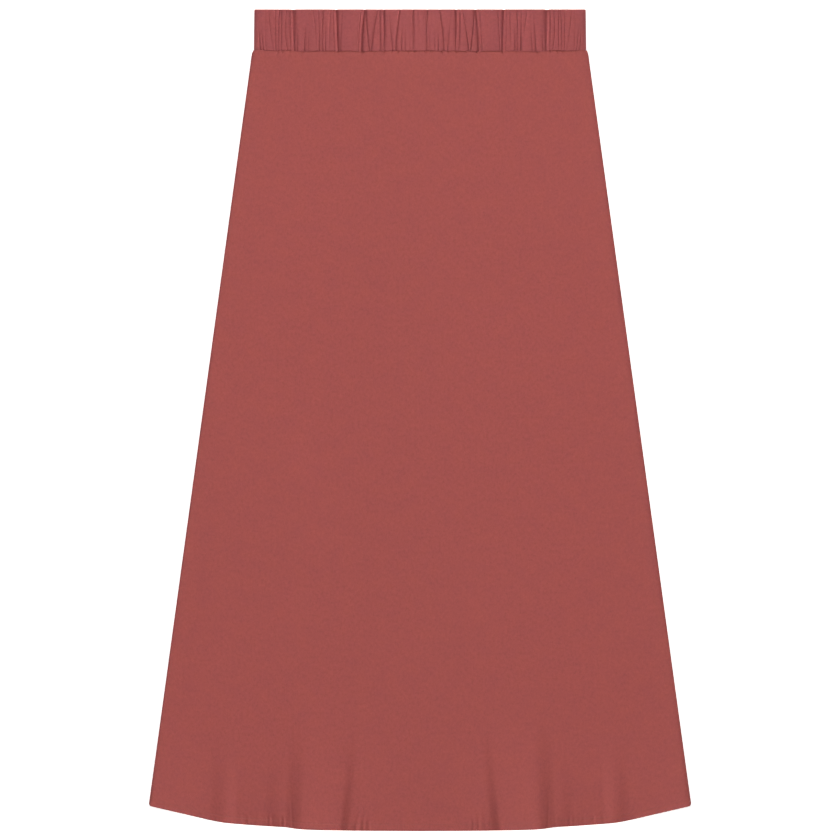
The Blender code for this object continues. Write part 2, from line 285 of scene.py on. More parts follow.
# Puckers beside the waist seam: their height, their spacing, and how far they reach from it
Puckers = namedtuple("Puckers", "height spacing reach")
TIGHT_PUCKERS = Puckers(0.00022, 0.0028, 0.0035)
LOOSE_PUCKERS = Puckers(0.00016, 0.0070, 0.0130)
BAND_PUCKERS = Puckers(0.00016, 0.0022, 0.0040)

# A panel's slack cloth: its waves, how far they wander across, and where they fade near the waist and the hem
SLACK_HEIGHT = 0.00016
SLACK_SPACING = 0.034
SLACK_SCALE = 0.9
SLACK_WANDER = 0.05
SLACK_WANDER_SPACING = 0.21
SLACK_BELOW_WAIST = 0.06
SLACK_ABOVE_HEM = 0.05

# The sheets' grids: the spacing of their columns, how much their rows' steps grow, and their unevenness's seed
Grid = namedtuple("Grid", "column_spacing row_growth seed")
FRONT_PANEL = Grid(0.00083, 1.0, 3)
BACK_PANEL = Grid(0.0026, 2.0, 40)
FRONT_BAND = Grid(0.00075, 1.0, 100)
BACK_BAND = Grid(0.0016, 1.6, 200)

# Their steps round rolled and folded edges, and from a fold back inside
SIDE_STEPS = 8
SEAM_STEPS = 4
HEM_FOLD_STEPS = 8
HEM_INSIDE_STEPS = 3
BAND_FOLD_STEPS = 12
BAND_INSIDE_STEPS = 4
BAND_INSIDE_GAP = 0.002  # the seam to the casing's inner edge
PUFF_STEPS = 4  # columns that even the narrowest puff has

# Their rows: where each stretch ends, and its first and last step
UNDER_SEAM_END = 0.030
OVER_HEM_START = 0.150
ON_HEM_START = 0.010
UNDER_SEAM_STEPS = np.array((0.0005, 0.0045))
OVER_HEM_STEPS = np.array((0.0120, 0.0020))
ON_HEM_STEPS = np.array((0.0008, 0.0008))
BAND_STEPS = np.array((0.0005, 0.0018))
BODY_ROWS = 9

# The hem's stitching
STITCHED = 0.985  # how far out it goes, as a share of the panel's flat stretch
ROUTE_POINTS = 361

# The cloth's and the thread's look
CLOTH_MAP = "cloth"
SMOOTH_ANGLE = math.radians(75)
PEBBLE_SIZE = 0.0011
PEBBLE_STRETCH = 0.6  # below 1, they are longer down the cloth than across it
LUMP_SIZE = 0.0030
LUMP_STRETCH = 0.8
LUMP_HEIGHT = 0.00002
MOTTLE_SIZE = 0.016
PEBBLE_SHADE = 0.15  # how far each makes the cloth lighter and darker
LUMP_SHADE = 0.17
WEAVE_SHADE = 0.02
PAINTED_HEM_SHADE = 0.022  # painted shade: how much darker the cloth is made towards the hem
PAINTED_SHADE_FROM = 0.065  # how far above the hem that painted shade starts, and where it is full
PAINTED_SHADE_FULL = 0.020
FUZZ_SIZE = 0.0003
FUZZ_HEIGHT = 0.00001
FUZZ_SHADE = 0.06

# The floor, the lights and the camera
FLOOR_SIZE = 12
FLOOR_Z = -0.0002  # just under the back hem's stitches
FLOOR_GLOW = 0.74
SOFTBOX_PLACE = Vector((0, 0.9, 1.9))
SOFTBOX_AIM = Vector((0, 0.15, 0))
SOFTBOX_SIZE = (2.6, 1.6)
SOFTBOX_SPREAD = 180
BEAM_AIM = 0.214  # how far across each half of the skirt its beam is aimed
BEAM_TILT = math.radians(48)
BEAM_DISTANCE = 1.6
BEAM_WIDTH = 1.1
BEAM_LENGTH = 0.42  # how far across the skirt it lights
BEAM_SPREAD = 3
WHITE = (1.0, 1.0, 1.0)
WARM = (1.0, 0.967, 0.907)
VIEW_WIDTH = 0.840
VIEW_CENTRE = (-0.00004, 0.00040)
FOCUS_HEIGHT = 0.0014


def mix(low, high, share):
    return low + (high - low) * share


def smooth(share):
    """Eases from 0 to 1 as share does."""
    share = np.clip(share, 0.0, 1.0)
    return share * share * (3 - 2 * share)


def graded(start, stop, first_step, last_step):
    """Places from start to stop, whose steps go evenly from about first_step to about last_step."""
    count = round(2 * abs(stop - start) / (first_step + last_step))
    share = np.arange(count + 1) / count
    grown = first_step * share + (last_step - first_step) * share**2 / 2
    return mix(start, stop, grown / grown[-1])


def uneven(seed, places, spacing):
    """Values from -1 to 1 that wander along places between -1 and 1, turning about once in each spacing."""
    steps = (places + 1.0) / spacing
    whole = np.floor(steps).astype(int)
    values = np.random.default_rng(seed).uniform(-1.0, 1.0, int(2.0 / spacing) + 3)
    return mix(values[whole], values[whole + 1], smooth(steps - whole))


def along_table(table, places):
    """The second column of a table read at places in its first, with its corners eased."""
    knots, values = np.array(table).T
    spread = TABLE_EASE * np.linspace(-1.0, 1.0, 5)
    return sum(np.interp(np.abs(places + shift), knots, values) for shift in spread) / len(spread)


def panel_half_width(drop):
    pinch = PINCH * np.clip(1 - drop / PINCH_DROP, 0.0, 1.0) ** 2
    return PANEL_TOP_HALF + FLARE * np.clip(drop, 0.0, SIDE_DROP) - pinch


def flute_height(across, above_hem):
    """How far the flutes lift the front off the back."""
    height = np.zeros_like(across)
    for flute in FLUTES:
        along = above_hem / flute.reach
        place = np.abs(across) - flute.drift * along
        outer_side = smooth((place - flute.outer) / (flute.crest - flute.outer))
        inner_side = smooth((place - flute.inner) / (flute.crest - flute.inner))
        side = np.where(place > flute.crest, outer_side, inner_side)
        height += flute.height * np.clip(1 - along, 0.0, 1.0) ** FLUTE_FADE * side
    return height


def hem_rise(across):
    past = np.clip(np.abs(across) - (HEM_HALF - CORNER_RADIUS), 0.0, CORNER_RADIUS)
    corner = CORNER_RADIUS - np.sqrt(CORNER_RADIUS**2 - past**2)
    return HEM_LIFT + along_table(HEM_LINE, across) + corner + HEM_DRAW * flute_height(across, 0.0)


def front_height(across, drop, above_hem):
    """Height of the front's smooth face."""
    to_band = (FRONT_AT_BAND - FRONT_AT_REST) * smooth(1 - drop / BAND_RAMP)
    to_hem = (FRONT_ON_HEM - FRONT_AT_REST) * smooth((HEM_RAMP - above_hem) / (HEM_RAMP - HEM_ALLOWANCE))
    return FRONT_AT_REST + to_band + to_hem + flute_height(across, above_hem)


def puckers(kind, seed, across, away):
    """Puckers that die away from the seam that makes them."""
    return kind.height * uneven(seed, across, kind.spacing) * np.exp(-away / kind.reach)


def drawn_in(across):
    """How deep the waist seam's thread draws the cloth in, right at the seam."""
    depth = 0.0
    for dimple in DIMPLES:
        away = (np.abs(across) - dimple.across) / DIMPLE_ACROSS
        depth = depth + dimple.depth * np.exp(-(away**2))
    return depth


def hem_ticks(across, above_hem, seed):
    """The fine ticks into which the hem's stitching gathers the cloth."""
    height = 0.0
    for stretch in HEM_GATHERS:
        past_start = smooth((np.abs(across) - stretch.start) / TICK_EASE)
        before_end = smooth((stretch.end - np.abs(across)) / TICK_EASE)
        height = height + stretch.height * past_start * before_end
    on_hem = smooth((STITCH_LINE + TICK_REACH - above_hem) / TICK_REACH)
    on_hem = on_hem * smooth((above_hem - TICK_START) / TICK_RISE)
    tail = smooth((STITCH_LINE + TICK_TAIL - above_hem) / TICK_TAIL)
    return height * on_hem * tail * uneven(seed, across, TICK_SPACING)


def panel_relief(across, drop, above_hem, seed):
    """A panel's small unevenness: slack cloth, puckers under the waist seam, and the marks of its hem."""
    wander = SLACK_WANDER * uneven(seed + 1, drop, SLACK_WANDER_SPACING)
    slack = SLACK_HEIGHT * uneven(seed, across * SLACK_SCALE + wander, SLACK_SPACING)
    slack *= smooth(drop / SLACK_BELOW_WAIST) * smooth(above_hem / SLACK_ABOVE_HEM)
    tight = puckers(TIGHT_PUCKERS, seed + 2, across, drop)
    loose = puckers(LOOSE_PUCKERS, seed + 3, across, drop)
    dimples = drawn_in(across) * np.exp(-((drop / DIMPLE_DOWN) ** 2))
    ticks = hem_ticks(across, above_hem, seed + 5)
    groove = GROOVE_DEPTH * np.exp(-(((above_hem - STITCH_LINE) / GROOVE_HALF) ** 2))
    step = STEP_HEIGHT * smooth((HEM_ALLOWANCE + STEP_HALF - above_hem) / (2 * STEP_HALF))
    return slack + tight + loose - dimples + ticks - groove + step


def rolled_edge(radius, tuck, steps, allowance=()):
    """Distances and sinks of an edge that turns under at a seam, from its hidden end up to its face."""
    turns = math.pi / 2 * (1 - np.arange(steps) / steps)
    distances = np.concatenate([-np.array(allowance), [0.0, 0.0], radius * (1 - np.sin(turns))])
    depths = [radius + tuck] * (len(allowance) + 1) + [radius + tuck / 2]
    sinks = np.concatenate([depths, radius * (1 - np.cos(turns))])
    return distances + SEAM_GAP / 2, sinks


def folded_edge(radius, depth, steps, inner_steps):
    """Distances, sinks and turns of an edge folded under, from its face round the fold and back inside."""
    turns = math.pi * np.arange(steps + 1) / steps
    inside = mix(radius, depth, np.arange(1, inner_steps + 1) / inner_steps)
    distances = np.concatenate([radius * (1 - np.sin(turns)), inside])
    sinks = np.concatenate([radius * (1 - np.cos(turns)), np.full(inner_steps, 2 * radius)])
    return distances, sinks, np.concatenate([turns, np.full(inner_steps, math.pi)])


# A sheet's columns: how far across its flat stretch, as a share, the angle round its side's roll, and the tuck
# into the side seam
Columns = namedtuple("Columns", "share angle tuck")


def side_columns():
    """The columns of a side's roll and of its edge in the side seam."""
    angles = math.pi / 2 * np.arange(1, SIDE_STEPS + 1) / SIDE_STEPS
    angle = np.concatenate([angles, np.full(len(SIDE_TUCKS), math.pi / 2)])
    tuck = np.concatenate([np.zeros(SIDE_STEPS), SIDE_TUCKS])
    return Columns(np.ones_like(angle), angle, tuck)


def both_sides(half):
    """Columns for the whole width from those of a half, whose first is the middle."""
    signs = (-1, 1, 1)
    return Columns(*(np.concatenate([sign * column[:0:-1], column]) for sign, column in zip(signs, half)))


def panel_columns(spacing):
    share = np.linspace(0.0, 1.0, round(PANEL_FLAT / spacing) + 1)
    side = side_columns()
    flat = Columns(share, np.zeros_like(share), np.zeros_like(share))
    return both_sides(Columns(*(np.concatenate(pair) for pair in zip(flat, side))))


def panel_surface(is_front, columns, drop, above_hem, sink, seed):
    """Points of a panel, sink being how far they have turned under its face."""
    side = np.sign(columns.share)
    edge = panel_half_width(drop) - SIDE_ROLL
    across = columns.share * edge
    relief = panel_relief(across, drop, above_hem, seed) * np.cos(columns.angle)
    seam_height = front_height(edge, drop, above_hem) / 2
    if is_front:
        face = front_height(across, drop, above_hem) + relief - sink
        seam_height = seam_height + SEAM_GAP / 4
    else:
        face = np.maximum(0.0, -relief) + sink
        seam_height = seam_height - SEAM_GAP / 4
    roll = SIDE_ROLL - LAYER * np.clip(sink / HEM_LAYERS, 0.0, 1.0)
    lift = along_table(SEAM_LINE, columns.share * PANEL_TOP_HALF) * (1 - smooth(drop / SEAM_WAVE_REACH))
    x = across + side * (roll * np.sin(columns.angle) - columns.tuck)
    y = SEAM_Y - drop + lift
    return np.stack([x, y, mix(seam_height, face, np.cos(columns.angle))], axis=2)


def seam_depth(seed, across):
    """How deep the waist seam lies between its two rolled edges, as a share of its deepest."""
    varied = SEAM_VARIATION * uneven(seed + 6, across, SEAM_VARIATION_SPACING)
    return np.minimum(1.0, SEAM_REST + varied + SEAM_DRAWN * drawn_in(across) / SEAM_TUCK)


def panel_lengths(columns):
    """The waist seam to the hem's edge, down each column."""
    return PANEL_DROP - hem_rise(np.abs(columns.share) * PANEL_FLAT + SIDE_ROLL * np.sin(columns.angle))


def panel_points(is_front, column_spacing, row_growth, seed):
    """All of a panel's points, from its hidden edge in the waist seam to its turned hem's raw edge."""
    columns = panel_columns(column_spacing)
    length = panel_lengths(columns)
    allowance = SEAM_ALLOWANCE if is_front else ()
    seam_distances, seam_sinks = rolled_edge(SEAM_ROLL, SEAM_TUCK, SEAM_STEPS, allowance)
    under_seam = graded(seam_distances[-1], UNDER_SEAM_END, *(row_growth * UNDER_SEAM_STEPS))[1:]
    over_hem = graded(OVER_HEM_START, ON_HEM_START, *(row_growth * OVER_HEM_STEPS))
    on_hem = graded(ON_HEM_START, HEM_LAYERS / 2, *(row_growth * ON_HEM_STEPS))[1:-1]
    hem_distances, hem_sinks, _ = folded_edge(HEM_LAYERS / 2, HEM_ALLOWANCE, HEM_FOLD_STEPS, HEM_INSIDE_STEPS)
    from_seam = np.concatenate([seam_distances, under_seam])
    from_hem = np.concatenate([over_hem, on_hem, hem_distances])
    body = np.arange(1, BODY_ROWS + 1)[:, None] / (BODY_ROWS + 1)
    drop = np.vstack(
        [
            from_seam[:, None] + 0 * length,
            mix(from_seam[-1], length - from_hem[0], body),
            length - from_hem[:, None],
        ]
    )
    level = np.zeros(len(under_seam) + len(body) + len(over_hem) + len(on_hem))
    sink = np.concatenate([seam_sinks, level, hem_sinks])[:, None] + 0 * drop
    sink[: len(seam_sinks)] *= seam_depth(seed, columns.share * PANEL_TOP_HALF)
    return panel_surface(is_front, columns, drop, length - drop, sink, seed)


def crease_place(crease, up):
    """Where a crease is across, up being the share of the waistband's height."""
    at_seam = crease.seam * (1 - up) * (1 - 2 * up)
    return at_seam + crease.halfway * 4 * up * (1 - up) + crease.fold * up * (2 * up - 1)


def gathered_columns(creases, spacing):
    """The columns of half a waistband, close together at each crease: the puff that each is on, its share
    across that puff, and its angle and tuck at the side."""
    places = [0.0] + [crease.halfway for crease in creases] + [BAND_FOOT_HALF - SIDE_ROLL]
    puffs = [np.zeros(1, int)]
    shares = [np.zeros(1)]
    for puff, (near, far) in enumerate(zip(places, places[1:])):
        steps = np.arange(PUFF_STEPS + round((far - near) / spacing)) + 1
        share = steps / steps[-1]
        if puff == 0:
            share = np.sin(math.pi / 2 * share)
        elif puff == len(creases):
            share = 1 - np.cos(math.pi / 2 * share)
        else:
            share = (1 - np.cos(math.pi * share)) / 2
        puffs.append(np.full(len(share), puff))
        shares.append(share)
    side = side_columns()
    puff = np.concatenate(puffs + [np.full(len(side.share), len(creases))])
    flat = np.zeros(sum(map(len, shares)))
    share = np.concatenate(shares + [side.share])
    return puff, share, np.concatenate([flat, side.angle]), np.concatenate([flat, side.tuck])


def fine_gathers(kind, seed, lane, up):
    """Fine gathers whose places change on their way up the waistband."""
    at_seam = uneven(seed, lane, kind.at_seam)
    at_fold = uneven(seed + 1, lane, kind.at_fold)
    return kind.height * mix(at_seam, at_fold, smooth(up))


def gather_relief(creases, floors, places, lane, puff, share, up, seed):
    """A gathered waistband's relief: cloth that puffs up between its creases and dips into them."""
    rows = up[:, 0]
    ramp = smooth(DEPTH_RAMP * rows)
    depths = np.array([mix(crease.seam_depth, crease.fold_depth, ramp) for crease in creases])
    held = np.minimum(1.0, depths / HELD_DEPTH)
    held = np.vstack([held[:1], held, np.ones_like(rows)])
    widths = np.diff(floors, axis=0)
    widths[0] *= 2
    rises = np.minimum(1.0, widths / PUFF_SPAN) ** PUFF_GROWTH
    ends = (1 - held[1:-1]) * (rises[:-1] + rises[1:]) / 2
    ends = np.vstack([ends[:1], ends, 0 * rows])
    between = np.where(puff == 0, (1 + share) / 2, share)
    dome = (4 * between * (1 - between)) ** PUFF_DOME
    dome = dome * mix(held[puff].T, held[puff + 1].T, share) * rises[puff].T
    relief = PUFF * (dome + mix(ends[puff].T, ends[puff + 1].T, share))
    at_foot = 1 + FOOT_PINCH * np.exp(-rows * BAND_HEIGHT / FOOT_REACH)
    for number, crease in enumerate(creases):
        away = np.abs(places) - floors[number + 1][:, None]
        wall = np.where(away > 0, crease.outward, crease.inward)
        variation = uneven(seed + 10 + number, rows * BAND_HEIGHT, DEPTH_VARIATION_SPACING)
        depth = depths[number] * at_foot * (1 + DEPTH_VARIATION * variation)
        relief -= depth[:, None] * np.exp(-np.abs(away / wall) ** CREASE_CUSP)
    limit = CREASE_LIMIT * (1 - ELASTIC_BULGE * 4 * up * (1 - up))
    relief = np.where(relief < 0, limit * np.tanh(relief / limit), relief)
    fine = fine_gathers(STREAKS, seed, lane, up) + fine_gathers(RIPPLES, seed + 2, lane, up)
    return relief + fine + puckers(BAND_PUCKERS, seed + 4, lane, up * BAND_HEIGHT)


def band_points(is_front, creases, column_spacing, row_growth, seed):
    """Points of half a waistband, from its foot in the seam, up its face, over the fold and down inside."""
    puff, share, angle, tuck = gathered_columns(creases, column_spacing)
    foot_distances, foot_sinks = rolled_edge(SEAM_ROLL, SEAM_TUCK, SEAM_STEPS)
    radius = BAND_LAYERS / 2
    face = graded(foot_distances[-1], BAND_HEIGHT - radius, *(row_growth * BAND_STEPS))[1:-1]
    inside = BAND_HEIGHT - BAND_INSIDE_GAP
    fold_distances, fold_sinks, fold_turns = folded_edge(radius, inside, BAND_FOLD_STEPS, BAND_INSIDE_STEPS)
    above_seam = np.concatenate([foot_distances, face, BAND_HEIGHT - fold_distances])[:, None]
    sink = np.concatenate([foot_sinks, 0 * face, fold_sinks])[:, None]
    turn = np.concatenate([0 * foot_sinks, 0 * face, fold_turns])[:, None]

    up = above_seam / BAND_HEIGHT
    edge = mix(BAND_FOOT_HALF, BAND_TOP_HALF, up[:, 0]) - SIDE_ROLL
    floors = np.array([0 * edge] + [crease_place(crease, up[:, 0]) for crease in creases] + [edge])
    across = mix(floors[puff, :].T, floors[puff + 1, :].T, share)
    halfway = [0.0] + [crease.halfway for crease in creases] + [BAND_FOOT_HALF - SIDE_ROLL]
    lane = mix(np.take(halfway, puff), np.take(halfway, puff + 1), share)

    halves = []
    for side in (-1, 1):
        relief = gather_relief(creases, floors, across, side * lane, puff, share, up, seed)
        relief = relief * (0.5 + 0.5 * np.cos(turn)) * np.cos(angle)
        rise = relief * np.cos(turn)
        foot = np.where(np.arange(len(up))[:, None] < len(foot_sinks), seam_depth(seed, side * lane), 1.0)
        depth = sink * foot
        lift = along_table(SEAM_LINE, lane) * (1 - smooth(above_seam / SEAM_WAVE_REACH))
        roll = SIDE_ROLL - LAYER * np.clip(sink / BAND_LAYERS, 0.0, 1.0)
        x = side * (across + roll * np.sin(angle) - tuck)
        y = SEAM_Y + above_seam + lift + NOTCH_SHARE * np.minimum(0.0, relief) * np.sin(turn)
        innermost = BAND_LAYERS - CLOTH * np.cos(turn)
        if is_front:
            face = BAND_FACE - np.minimum(innermost, depth - rise)
            height = mix(BAND_FACE / 2 + SEAM_GAP / 4, face, np.cos(angle))
        else:
            clear = PUFF * (0.5 + 0.5 * np.cos(turn))
            face = np.clip(depth + clear - rise, 0.0, innermost)
            height = mix(BAND_FACE / 2 - SEAM_GAP / 4, face, np.cos(angle))
        halves.append(np.stack([x, y, height], axis=2))
    return np.concatenate([halves[0][:, :0:-1], halves[1]], axis=1)[::-1]


def back_creases():
    """The back waistband's creases: like the front's, in other places and depths."""
    depths = np.random.default_rng(BACK_DEPTH_SEED).uniform(*BACK_DEPTHS, len(CREASES))
    creases = []
    for crease, depth in zip(CREASES, depths):
        shift = BACK_SHIFT * math.sin(BACK_SHIFT_TURN * crease.halfway + BACK_SHIFT_START)
        places = [place + shift for place in crease[:3]]
        creases.append(Crease(*places, *(depth * size for size in crease[3:5]), *crease[5:]))
    return creases


def cloth_places(points):
    """How far across and down the cloth each point is, measured along it from the middle and the top."""
    across = np.zeros(points.shape[:2])
    down = np.zeros(points.shape[:2])
    across[:, 1:] = np.cumsum(np.linalg.norm(np.diff(points, axis=1), axis=2), axis=1)
    down[1:] = np.cumsum(np.linalg.norm(np.diff(points, axis=0), axis=2), axis=0)
    middle = points.shape[1] // 2
    return np.stack([across - across[:, middle : middle + 1], -down], axis=2)


def add_sheet(name, points, thickness, finish):
    """Adds a grid, lays its points as given, outer face up, and gives it its thickness and finish."""
    rows, columns = points.shape[:2]
    bpy.ops.object.select_all(action="DESELECT")
    bpy.ops.mesh.primitive_grid_add(x_subdivisions=columns - 1, y_subdivisions=rows - 1, size=2)
    piece = bpy.context.object
    piece.name = piece.data.name = name
    start = np.zeros(rows * columns * 3)
    piece.data.vertices.foreach_get("co", start)
    start = start.reshape(-1, 3)
    column = np.rint((start[:, 0] + 1) / 2 * (columns - 1)).astype(int)
    row = np.rint((1 - start[:, 1]) / 2 * (rows - 1)).astype(int)
    piece.data.vertices.foreach_set("co", points[row, column].ravel())
    corner = np.zeros(len(piece.data.loops), int)
    piece.data.loops.foreach_get("vertex_index", corner)
    flat = cloth_places(points)[row, column][corner]
    piece.data.uv_layers.active.name = CLOTH_MAP
    piece.data.uv_layers.active.data.foreach_set("uv", flat.ravel())
    piece.data.update()
    wall = piece.modifiers.new("Cloth thickness", "SOLIDIFY")
    wall.thickness = thickness
    wall.offset = -1.0
    bpy.ops.object.modifier_apply(modifier=wall.name)
    bpy.ops.object.shade_smooth_by_angle(angle=SMOOTH_ANGLE)
    piece.data.materials.clear()
    piece.data.materials.append(finish)
    return piece


class Wire:
    """A shader value that takes part in expressions, each of which adds its Math nodes."""

    def __init__(self, finish, socket):
        self.finish = finish
        self.socket = socket

    def maths(self, operation, first, second):
        node = self.finish.node("ShaderNodeMath", {"operation": operation}, {0: first, 1: second})
        return Wire(self.finish, node.outputs[0])

    def __add__(self, other):
        return self.maths("ADD", self, other)

    def __sub__(self, other):
        return self.maths("SUBTRACT", self, other)

    def __rsub__(self, other):
        return self.maths("SUBTRACT", other, self)

    def __mul__(self, other):
        return self.maths("MULTIPLY", self, other)

    __radd__ = __add__
    __rmul__ = __mul__


class Finish:
    """A material in the making, around one Principled shader."""

    def __init__(self, name):
        self.material = bpy.data.materials.new(name)
        self.material.use_nodes = True
        self.tree = self.material.node_tree
        self.shader = self.tree.nodes["Principled BSDF"]

    def node(self, kind, settings, inputs):
        """Adds a node with its settings, and the values or wires of its inputs."""
        node = self.tree.nodes.new(kind)
        for setting, value in settings.items():
            setattr(node, setting, value)
        for key, value in inputs.items():
            self.join(node.inputs[key], value)
        return node

    def join(self, socket, value):
        if isinstance(value, Wire):
            self.tree.links.new(value.socket, socket)
        else:
            socket.default_value = value

    def set(self, **inputs):
        """Sets the shader's sockets, named with _ for a space."""
        for key, value in inputs.items():
            self.join(self.shader.inputs[key.replace("_", " ")], value)

    def wire(self, kind, settings, inputs, output=0):
        return Wire(self, self.node(kind, settings, inputs).outputs[output])

    def sine(self, angle):
        return self.wire("ShaderNodeMath", {"operation": "SINE"}, {0: angle})

    def noise(self, places, size, detail=2.0, roughness=0.5):
        """Noise from -1 to 1, about size between its lumps."""
        inputs = {"Vector": places, "Scale": 1 / size, "Detail": detail, "Roughness": roughness}
        return self.wire("ShaderNodeTexNoise", {"noise_dimensions": "3D"}, inputs, "Fac") * 2 - 1

    def stretched(self, places, across, down):
        """Places with their two directions scaled, so that a pattern on them is stretched."""
        return self.wire("ShaderNodeMapping", {}, {"Vector": places, "Scale": (across, down, 1.0)})

    def bump(self, height):
        """The normal of a surface with this height, in metres."""
        inputs = {"Strength": 1.0, "Distance": 1.0, "Height": height}
        return self.wire("ShaderNodeBump", {}, inputs, "Normal")

    def shaded(self, colour, shade):
        """A colour made lighter or darker, shade being about 1."""
        return self.wire("ShaderNodeVectorMath", {"operation": "SCALE"}, {0: colour, "Scale": shade})


def cloth_finish(name, colour, cool_colour, settings):
    """Matt crepe: a fine weave, pebbled by its twisted yarns, with faint mottling in the dye, and painted shade
    towards the hem.
    """
    finish = Finish(name)
    places = finish.wire("ShaderNodeUVMap", {"uv_map": CLOTH_MAP}, {})
    split = finish.node("ShaderNodeSeparateXYZ", {}, {0: places})
    across, down = (Wire(finish, split.outputs[axis]) for axis in "XY")
    turn = 2 * math.pi / settings.weave_pitch
    weave = finish.sine(across * turn) * finish.sine(down * turn)
    pebbles = finish.noise(finish.stretched(places, 1.0, PEBBLE_STRETCH), PEBBLE_SIZE, detail=1.0)
    lumps = finish.noise(finish.stretched(places, 1.0, LUMP_STRETCH), LUMP_SIZE, detail=2.0)
    mottle = finish.noise(places, MOTTLE_SIZE, detail=3.0, roughness=0.6)
    height = weave * settings.weave_height + pebbles * settings.pebble_height + lumps * LUMP_HEIGHT
    tint = finish.wire(
        "ShaderNodeMix",
        {"data_type": "RGBA"},
        {"Factor": mottle * 0.5 + 0.5, "A": (*colour, 1.0), "B": (*cool_colour, 1.0)},
        "Result",
    )
    # Painted shade: the cloth is made darker over the lowest stretch above the hem
    painted_shade_share = finish.wire(
        "ShaderNodeMapRange",
        {"interpolation_type": "SMOOTHSTEP"},
        {"Value": down * -1, "From Min": PANEL_DROP - PAINTED_SHADE_FROM, "From Max": PANEL_DROP - PAINTED_SHADE_FULL},
        "Result",
    )
    # Pebbles, lumps and weave vary the tone at random; the last term is the painted shade towards the hem
    shade = 1 + pebbles * PEBBLE_SHADE + lumps * LUMP_SHADE + weave * WEAVE_SHADE - painted_shade_share * PAINTED_HEM_SHADE
    finish.set(Base_Color=finish.shaded(tint, shade), Roughness=0.80 + pebbles * 0.05)
    finish.set(Normal=finish.bump(height), Specular_IOR_Level=0.25)
    finish.set(Sheen_Weight=0.06, Sheen_Roughness=0.5, Sheen_Tint=(1.0, 0.82, 0.80, 1.0))
    return finish.material


def thread_finish(colour):
    """Spun sewing thread, a little glossier than the cloth."""
    finish = Finish("sewing thread")
    places = finish.wire("ShaderNodeTexCoord", {}, {}, "Object")
    fuzz = finish.noise(places, FUZZ_SIZE)
    finish.set(Base_Color=finish.shaded((*colour,), 1 + fuzz * FUZZ_SHADE), Roughness=0.55 + fuzz * 0.05)
    finish.set(Normal=finish.bump(fuzz * FUZZ_HEIGHT), Specular_IOR_Level=0.4)
    return finish.material


class SkirtCloth(bpy.types.PropertyGroup):
    """The cloth's size and its weave."""

    thickness: FloatProperty(
        name="Thickness", description="One layer of the cloth", default=CLOTH, unit="LENGTH", precision=5
    )
    weave_pitch: FloatProperty(
        name="Weave pitch", description="From yarn to yarn", default=0.00045, unit="LENGTH", precision=5
    )
    weave_height: FloatProperty(
        name="Weave height",
        description="How far the yarns stand up",
        default=0.000006,
        unit="LENGTH",
        precision=6,
    )
    pebble_height: FloatProperty(
        name="Pebble height",
        description="How far crepe lumps stand up",
        default=0.00002,
        unit="LENGTH",
        precision=6,
    )


class SkirtColours(bpy.types.PropertyGroup):
    """The colours of the cloth and thread."""

    cloth: FloatVectorProperty(
        name="Cloth", description="The panels' brick red", default=(0.349, 0.0752, 0.0616), subtype="COLOR"
    )
    cloth_cool: FloatVectorProperty(
        name="Cloth, cooler",
        description="The panels' cooler mottling",
        default=(0.286, 0.0626, 0.0644),
        subtype="COLOR",
    )
    # The waistband is the panels' cloth: this colour is that cloth made darker and cooler, painted shade of its
    # gathers
    band_with_painted_shade: FloatVectorProperty(
        name="Waistband",
        description="The gathered cloth's red",
        default=(0.323, 0.0705, 0.0656),
        subtype="COLOR",
    )
    # Its cooler mottling, darker by the same painted shade
    band_cool_with_painted_shade: FloatVectorProperty(
        name="Waistband, cooler",
        description="The waistband's cooler mottling",
        default=(0.2754, 0.0618, 0.0707),
        subtype="COLOR",
    )
    thread: FloatVectorProperty(
        name="Thread", description="The hem's sewing thread", default=(0.235, 0.052, 0.050), subtype="COLOR"
    )


class SkirtStitches(bpy.types.PropertyGroup):
    """The hem's topstitching."""

    pitch: FloatProperty(
        name="Pitch", description="From stitch to stitch", default=0.0026, unit="LENGTH", precision=5
    )
    length: FloatProperty(name="Length", description="One stitch", default=0.0021, unit="LENGTH", precision=5)
    thread: FloatProperty(
        name="Thread", description="The thread's width", default=0.00036, unit="LENGTH", precision=5
    )


class SkirtStage(bpy.types.PropertyGroup):
    """The floor, the lights and the camera."""

    sky: FloatProperty(name="Sky", description="Even white light from all round", default=0.335)
    softbox: FloatProperty(
        name="Softbox", description="Power of the large light above the waist", default=20.2, subtype="POWER"
    )
    beams: FloatProperty(
        name="Beams", description="Power of the narrow light on each half", default=0.665, subtype="POWER"
    )
    lens: FloatProperty(name="Lens", description="The camera's focal length, in millimetres", default=250.0)


def settle(piece, node=None):
    """A finished piece goes with the skirt's one body, in place of its solid if it has one."""
    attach(piece, "root")
    if node:
        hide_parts(node)


class SKIRT_OT_panels(bpy.types.Operator):
    """Add the front and back panels with their turned hems"""

    bl_idname = "skirt.panels"
    bl_label = "Add panels"

    def execute(self, context):
        cloth = context.scene.skirt_cloth
        colours = context.scene.skirt_colours
        finish = cloth_finish("skirt crepe", colours.cloth, colours.cloth_cool, cloth)
        front = panel_points(True, *FRONT_PANEL)
        back = panel_points(False, *BACK_PANEL)[:, ::-1]
        for name, points in (("front_panel", front), ("back_panel", back)):
            piece = add_sheet(name + "_cloth", points, cloth.thickness, finish)
            settle(piece, name)
        return {"FINISHED"}


